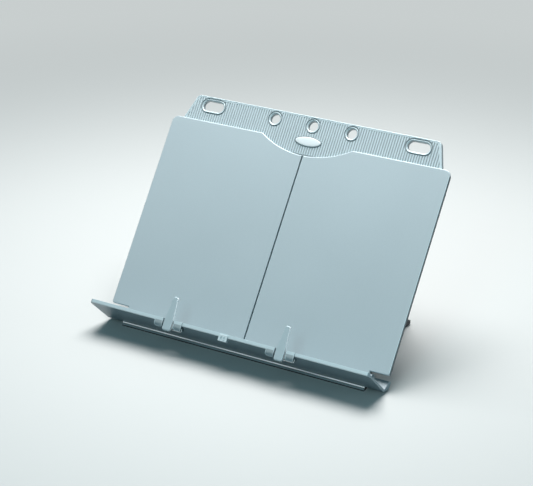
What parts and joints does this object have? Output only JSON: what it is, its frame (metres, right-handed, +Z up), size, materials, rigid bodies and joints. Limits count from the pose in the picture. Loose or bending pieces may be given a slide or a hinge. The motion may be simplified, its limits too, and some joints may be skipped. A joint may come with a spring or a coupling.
{
  "type": "book and document stand",
  "caption": "Folding desk stand for books and papers, with a leaning ribbed-header panel, a fold-up front ledge, sprung page clips and a rear easel leg.",
  "frame": {"origin": "middle of the front rubber foot's contact with the desk", "axes": "+X to the stand's right as its user sits, -Y towards the user, +Z up; the desk is z = 0"},
  "size_m": [0.384, 0.2251, 0.2456],
  "materials": {
    "leaf": "smooth silver lacquer",
    "header": "ribbed silver lacquer",
    "ledge": "smooth silver lacquer",
    "clip": "smooth silver lacquer",
    "trim": "smooth silver lacquer",
    "shell": "fine moulded grain",
    "badge": "polished",
    "rubber": "matt",
    "steel": "drawn"
  },
  "bodies": {
    "panel": {"back_panel": "header", "left_leaf": "leaf", "right_leaf": "leaf", "rear_shell": "shell", "badge": "badge", "shell_screws": "steel", "foot_rail": "trim", "foot_pad": "rubber", "left_ledge_pin": "steel", "right_ledge_pin": "steel", "left_bracket": "shell", "right_bracket": "shell", "left_leg_pin": "steel", "right_leg_pin": "steel", "bracket_screws": "steel"},
    "ledge": {"ledge": "ledge", "edge_tab": "trim", "left_clip_spring": "steel", "right_clip_spring": "steel"},
    "left_clip_pin": {"left_clip_pin": "steel"},
    "right_clip_pin": {"right_clip_pin": "steel"},
    "left_clip": {"left_clip": "clip"},
    "right_clip": {"right_clip": "clip"},
    "easel_leg": {"rear_leg": "shell", "left_rear_foot": "rubber", "right_rear_foot": "rubber"}
  },
  "joints": [
    {"name": "ledge_fold", "type": "hinge", "parent": "panel", "child": "ledge", "pos_m": [0, 0.00996, 0.01056], "axis": [-1, 0, 0], "range_deg": [0, 82]},
    {"name": "left_clip_fold", "type": "hinge", "parent": "ledge", "child": "left_clip_pin", "pos_m": [-0.0764, -0.03423, 0.03622], "axis": [1, 0, 0], "range_deg": [0, 82]},
    {"name": "right_clip_fold", "type": "hinge", "parent": "ledge", "child": "right_clip_pin", "pos_m": [0.0764, -0.03423, 0.03622], "axis": [1, 0, 0], "range_deg": [0, 82]},
    {"name": "left_clip_press", "type": "hinge", "parent": "left_clip_pin", "child": "left_clip", "pos_m": [-0.0764, -0.03423, 0.03622], "axis": [1, 0, 0], "range_deg": [0, 30], "stiffness_Nm_per_rad": 0.15},
    {"name": "right_clip_press", "type": "hinge", "parent": "right_clip_pin", "child": "right_clip", "pos_m": [0.0764, -0.03423, 0.03622], "axis": [1, 0, 0], "range_deg": [0, 30], "stiffness_Nm_per_rad": 0.15},
    {"name": "leg_fold", "type": "hinge", "parent": "panel", "child": "easel_leg", "pos_m": [0, 0.12612, 0.14816], "axis": [-1, 0, 0], "range_deg": [0, 54]}
  ],
  "couplings": [
    {"joint": "left_clip_fold", "follows": "ledge_fold", "ratio": 1},
    {"joint": "right_clip_fold", "follows": "ledge_fold", "ratio": 1}
  ]
}
